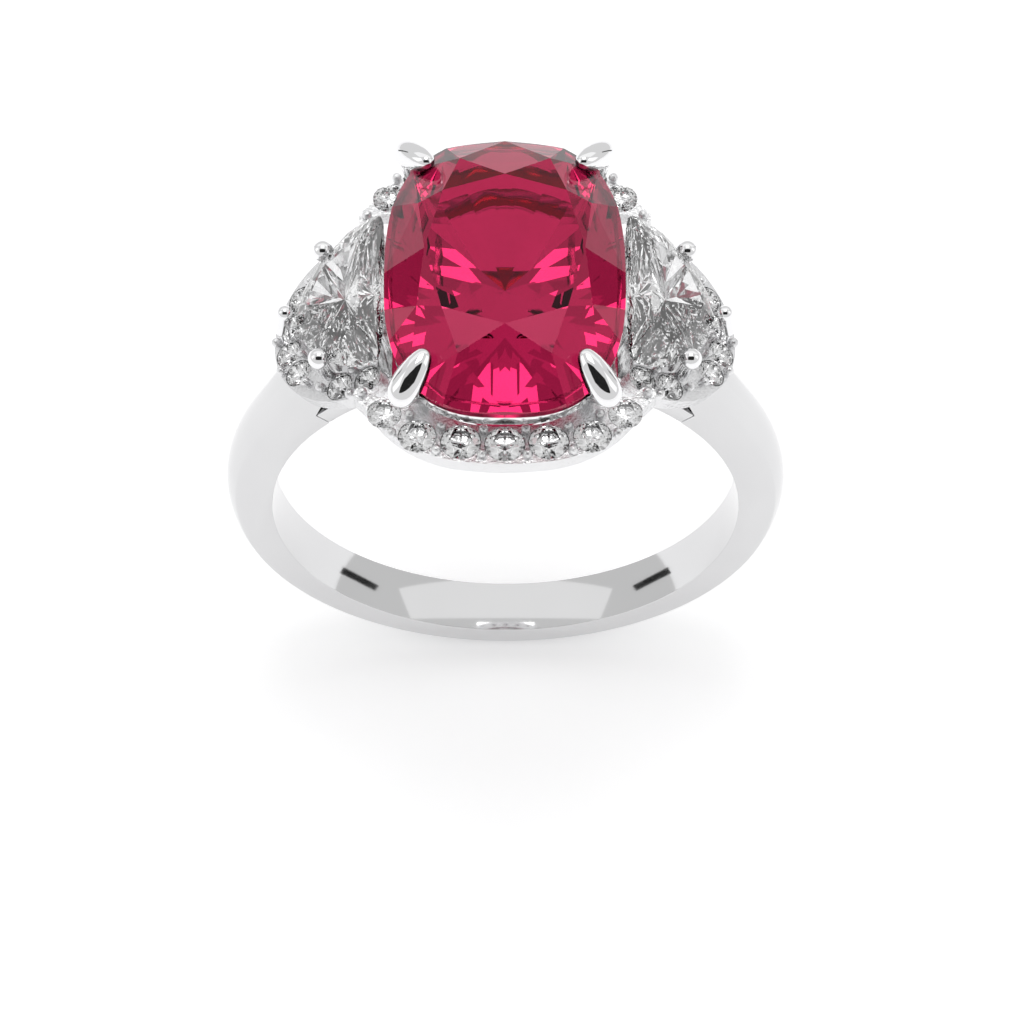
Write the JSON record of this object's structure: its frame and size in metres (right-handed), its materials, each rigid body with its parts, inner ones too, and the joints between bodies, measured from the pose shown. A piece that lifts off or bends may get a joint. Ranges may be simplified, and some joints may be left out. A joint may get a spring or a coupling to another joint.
{
  "type": "cocktail ring",
  "caption": "Ring with a large cushion-cut centre stone in claws, half-moon side stones and a halo of small diamonds on cathedral shoulders.",
  "frame": {"origin": "centre of the finger hole, at the middle of the band's width", "axes": "+Y along the finger hole, +Z from the finger hole's centre to the centre stone, +X across the ring"},
  "size_m": [0.0206, 0.013, 0.0248],
  "materials": {
    "band_metal": "polished white gold, rhodium plated",
    "gallery_metal": "polished white gold, rhodium plated",
    "claw_metal": "polished white gold, rhodium plated",
    "halo_metal": "polished white gold, rhodium plated",
    "ruby": "faceted red corundum, polished",
    "half_moon_diamond": "faceted diamond, polished",
    "halo_diamond": "faceted diamond, polished"
  },
  "bodies": {
    "root": {"centre_base_ring": "gallery_metal", "centre_claw_back_left": "claw_metal", "centre_claw_back_right": "claw_metal", "centre_claw_front_left": "claw_metal", "centre_claw_front_right": "claw_metal", "centre_ruby": "ruby", "centre_seat_rail": "gallery_metal", "finger_bridge": "gallery_metal", "half_moon_diamond_left": "half_moon_diamond", "half_moon_diamond_right": "half_moon_diamond", "halo_back": "halo_metal", "halo_diamond_back_1": "halo_diamond", "halo_diamond_back_2": "halo_diamond", "halo_diamond_back_3": "halo_diamond", "halo_diamond_back_4": "halo_diamond", "halo_diamond_back_5": "halo_diamond", "halo_diamond_back_6": "halo_diamond", "halo_diamond_back_7": "halo_diamond", "halo_diamond_front_1": "halo_diamond", "halo_diamond_front_2": "halo_diamond", "halo_diamond_front_3": "halo_diamond", "halo_diamond_front_4": "halo_diamond", "halo_diamond_front_5": "halo_diamond", "halo_diamond_front_6": "halo_diamond", "halo_diamond_front_7": "halo_diamond", "halo_diamond_left_1": "halo_diamond", "halo_diamond_left_2": "halo_diamond", "halo_diamond_left_3": "halo_diamond", "halo_diamond_left_4": "halo_diamond", "halo_diamond_left_5": "halo_diamond", "halo_diamond_left_6": "halo_diamond", "halo_diamond_left_7": "halo_diamond", "halo_diamond_left_8": "halo_diamond", "halo_diamond_right_1": "halo_diamond", "halo_diamond_right_2": "halo_diamond", "halo_diamond_right_3": "halo_diamond", "halo_diamond_right_4": "halo_diamond", "halo_diamond_right_5": "halo_diamond", "halo_diamond_right_6": "halo_diamond", "halo_diamond_right_7": "halo_diamond", "halo_diamond_right_8": "halo_diamond", "halo_front": "halo_metal", "halo_left": "halo_metal", "halo_right": "halo_metal", "outer_claw_left": "claw_metal", "outer_claw_right": "claw_metal", "shank": "band_metal", "side_basket_left": "gallery_metal", "side_basket_right": "gallery_metal", "side_claw_back_left": "claw_metal", "side_claw_back_right": "claw_metal", "side_claw_front_left": "claw_metal", "side_claw_front_right": "claw_metal"}
  },
  "joints": []
}
